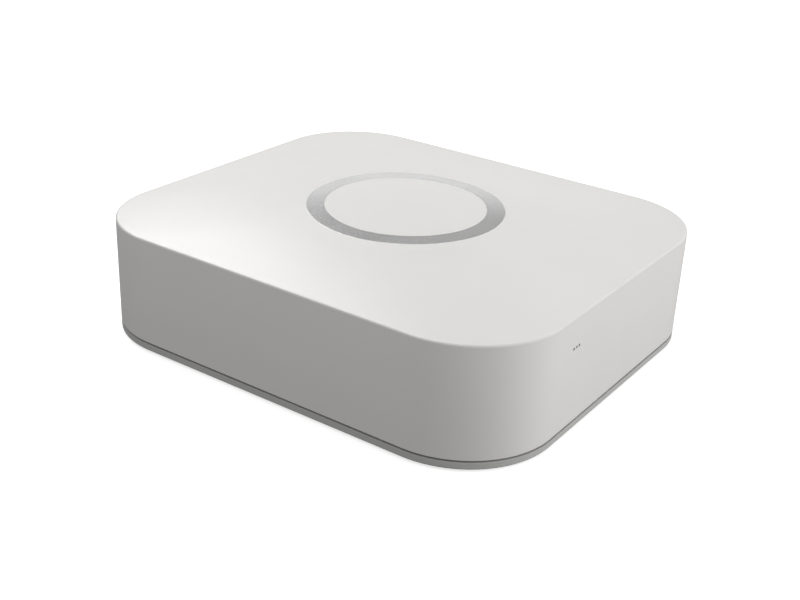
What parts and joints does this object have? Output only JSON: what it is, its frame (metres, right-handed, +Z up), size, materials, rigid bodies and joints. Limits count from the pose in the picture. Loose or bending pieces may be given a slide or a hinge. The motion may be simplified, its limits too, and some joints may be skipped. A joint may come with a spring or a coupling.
{
  "type": "smart home hub",
  "caption": "Low rounded white smart home hub with a crowned top, an inlaid metal ring, a sliding grey bottom cover and rear sockets.",
  "frame": {"origin": "middle of the plane that the rubber feet rest on", "axes": "+Z up; -Y the front face with the indicator holes; +Y the rear face with the sockets; X across the width"},
  "size_m": [0.106, 0.121, 0.0332],
  "materials": {
    "shell_white": "fine satin moulded surface",
    "ring_metal": "satin, spun",
    "clear_pipe": "clear moulding seen end on in small dark holes",
    "chassis_dark": "fine matte",
    "cover_grey": "fine matte moulded surface",
    "rubber_dark": "matte",
    "label_paper": "blank coated label",
    "cell_sleeve": null,
    "spring_steel": "bright drawn and stamped steel",
    "board_green": "solder mask over glass cloth laminate",
    "board_blue": "solder mask over glass cloth laminate",
    "chip_black": "fine matte moulded package",
    "pad_grey": "soft matte filled silicone",
    "can_steel": "satin tinned sheet",
    "ferrite_dark": "dull sintered",
    "capacitor_can": "satin drawn can",
    "socket_black": "fine matte",
    "socket_pale": "fine matte",
    "contact_gold": "bright plated",
    "lamp_white": "moulded lamp package",
    "button_cream": "fine matte",
    "screw_steel": "zinc plated"
  },
  "bodies": {
    "hub": {"top_shell": "shell_white", "ring_trim": "ring_metal", "light_pipe": "clear_pipe", "chassis": "chassis_dark", "battery_cells": "cell_sleeve", "battery_springs": "spring_steel", "battery_plates": "spring_steel", "main_board": "board_green", "processor": "chip_black", "thermal_pad": "pad_grey", "memory_chips": "chip_black", "processor_shield": "can_steel", "power_chips": "chip_black", "crystals": "can_steel", "mesh_radio": "board_blue", "long_range_radio": "board_green", "radio_shields": "can_steel", "antennas": "spring_steel", "inductors": "ferrite_dark", "capacitors": "capacitor_can", "ethernet_shell": "can_steel", "ethernet_insert": "socket_black", "ethernet_contacts": "contact_gold", "ethernet_magnetics": "chip_black", "usb_shell": "can_steel", "usb_insert": "socket_pale", "usb_contacts": "contact_gold", "dc_housing": "socket_black", "dc_pin": "spring_steel", "dc_spring": "spring_steel", "status_led": "lamp_white", "reset_switch": "chip_black", "case_screws": "screw_steel", "board_screws": "screw_steel"},
    "cover": {"bottom_cover": "cover_grey", "feet": "rubber_dark", "rating_label": "label_paper"},
    "reset_button": {"reset_plunger": "button_cream"}
  },
  "joints": [
    {"name": "cover_slide", "type": "slide", "parent": "hub", "child": "cover", "axis": [0, -1, 0], "range_m": [0, 0.125]},
    {"name": "reset_press", "type": "slide", "parent": "hub", "child": "reset_button", "axis": [0, -1, 0], "range_m": [0, 0.00025], "stiffness_N_per_m": 4000, "springref_m": -0.0002}
  ]
}
